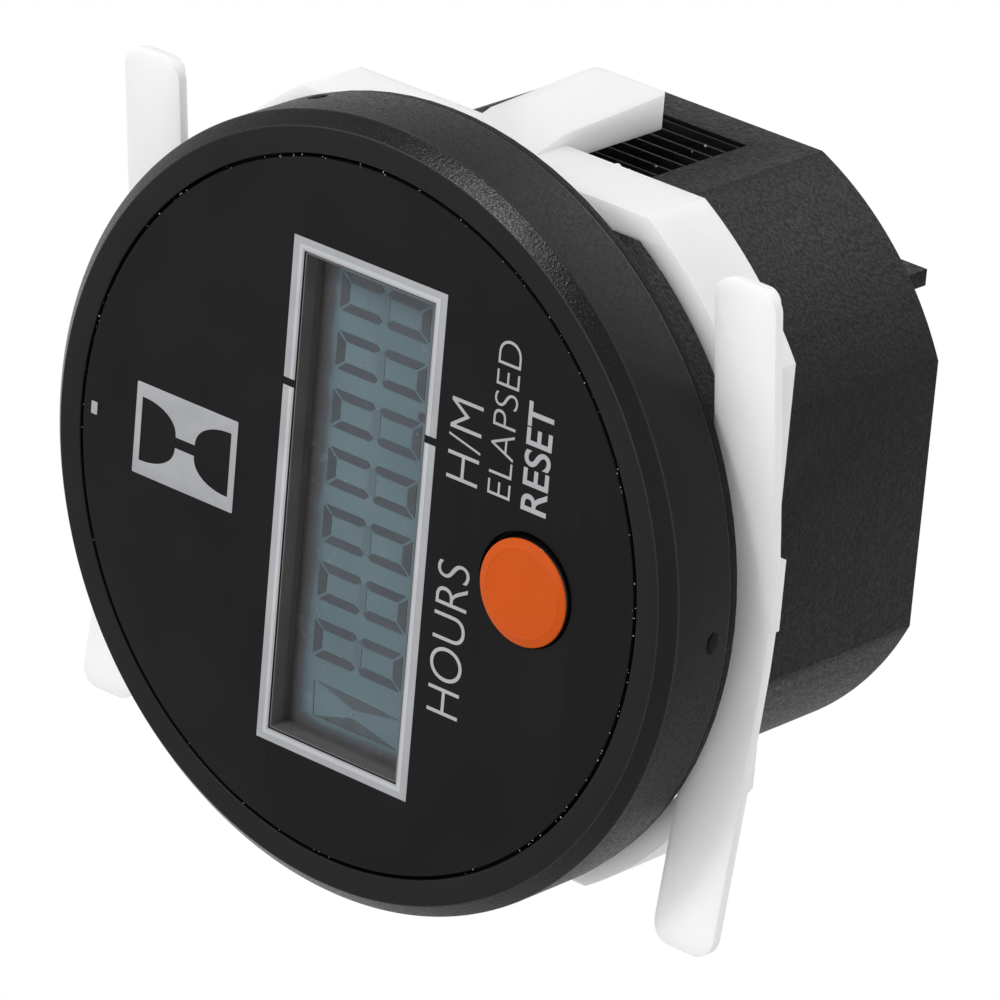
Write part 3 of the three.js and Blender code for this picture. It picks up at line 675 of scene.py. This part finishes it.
def specks(name, spots, size):
    """Small irregular grains of dust, each its own crumpled lump."""
    bm = bmesh.new()
    for x, y, z in spots:
        radius = size * MM * rng.uniform(0.5, 1.2)
        grown = bmesh.ops.create_icosphere(bm, subdivisions=2, radius=radius)
        squeeze = Vector((rng.uniform(0.6, 1.6), rng.uniform(0.5, 0.9), rng.uniform(0.6, 1.6)))
        for v in grown["verts"]:
            v.co = Vector(a * b * rng.uniform(0.8, 1.2) for a, b in zip(v.co, squeeze))
            v.co += Vector((x, y, z)) * MM
    mesh = bpy.data.meshes.new(name)
    bm.to_mesh(mesh)
    bm.free()
    finish_mesh(name, mesh, DUST, "meter", slot="dial_black")


groove = []
for _ in range(110):
    angle = rng.uniform(-2.4, 0.9) if rng.random() < 0.6 else rng.uniform(0, 2 * math.pi)
    radius = DIAL_R + rng.uniform(-0.1, 0.2)
    groove.append((radius * math.cos(angle), FACE_Y + 0.03, radius * math.sin(angle)))
specks("seam_dust", groove, 0.036)
RACK_X = 23.06                       # just under the tops of the rack's teeth
rack = []
for _ in range(16):
    rack.append((RACK_X, rng.uniform(4.6, 25), rng.uniform(3.6, 6.3) * rng.choice((-1, 1))))
specks("rack_dust", rack + [(-x, y, z) for x, y, z in rack[:6]], 0.09)
window_dust = [(rng.uniform(-17.5, 17.5), LCD_Y - 0.05, rng.uniform(-5.2, 5.8)) for _ in range(34)]
specks("window_dust", window_dust, 0.05)

# ------------------------------------------------------------------ stage, light and camera

bpy.ops.mesh.primitive_plane_add(size=12, location=(0, 0, -0.9))
floor = bpy.context.object
floor.name = "floor"
floor.data.materials.append(mottled("pale_floor", srgb(236, 236, 236), srgb(242, 242, 242), 2, 0.8))

# the surround is white to the camera, and a dimmer white as light
SURROUND_LIGHT = 0.74
world = bpy.data.worlds.new("studio")
bpy.context.scene.world = world
world.use_nodes = True
tree = world.node_tree
tree.nodes.clear()
seen = tree.nodes.new("ShaderNodeBackground")
seen.inputs["Color"].default_value = (1, 1, 1, 1)
seen.inputs["Strength"].default_value = 1.0
lit = tree.nodes.new("ShaderNodeBackground")
lit.inputs["Color"].default_value = (1, 1, 1, 1)
lit.inputs["Strength"].default_value = SURROUND_LIGHT
paths = tree.nodes.new("ShaderNodeLightPath")
choose = tree.nodes.new("ShaderNodeMixShader")
tree.links.new(paths.outputs["Is Camera Ray"], choose.inputs["Fac"])
tree.links.new(lit.outputs["Background"], choose.inputs[1])
tree.links.new(seen.outputs["Background"], choose.inputs[2])
tree.links.new(choose.outputs["Shader"], tree.nodes.new("ShaderNodeOutputWorld").inputs["Surface"])

# the camera's place and its three axes
CAMERA_AT = Vector((0.24303, -0.44406, -0.37295))
IMAGE_RIGHT = Vector((0.08053542, 0.65905336, -0.74777183))
IMAGE_UP = Vector((0.91879803, 0.24175855, 0.31203043))
TO_CAMERA = Vector((0.38642493, -0.71218079, -0.5860668))


def softbox(name, direction, distance, size, power):
    """A square soft light that faces the object from that side."""
    data = bpy.data.lights.new(name, "AREA")
    data.size = size
    data.energy = power
    light = bpy.data.objects.new(name, data)
    bpy.context.scene.collection.objects.link(light)
    light.location = direction.normalized() * distance
    light.rotation_mode = "QUATERNION"
    light.rotation_quaternion = (-light.location).to_track_quat("-Z", "Y")
    light.visible_camera = False


softbox("key", IMAGE_UP * 0.6 + TO_CAMERA * 0.66 - IMAGE_RIGHT * 0.45,
        distance=0.8, size=0.12, power=2.2)
softbox("front", TO_CAMERA * 0.6 - IMAGE_RIGHT + IMAGE_UP * 0.1, distance=1.2, size=1.0, power=3.6)
softbox("rim", IMAGE_UP * 0.6 + IMAGE_RIGHT * 0.6 - TO_CAMERA * 0.3, distance=1.0, size=0.7, power=2.0)

camera_data = bpy.data.cameras.new("camera")
camera_data.lens = 312.27
camera_data.sensor_width = 36.0
camera_data.clip_start = 0.01
camera_data.clip_end = 50.0
camera = bpy.data.objects.new("camera", camera_data)
bpy.context.scene.collection.objects.link(camera)
pose = Matrix((IMAGE_RIGHT, IMAGE_UP, TO_CAMERA)).transposed().to_4x4()
pose.translation = CAMERA_AT
camera.matrix_world = pose
bpy.context.scene.camera = camera
bpy.context.scene.view_settings.view_transform = "Standard"
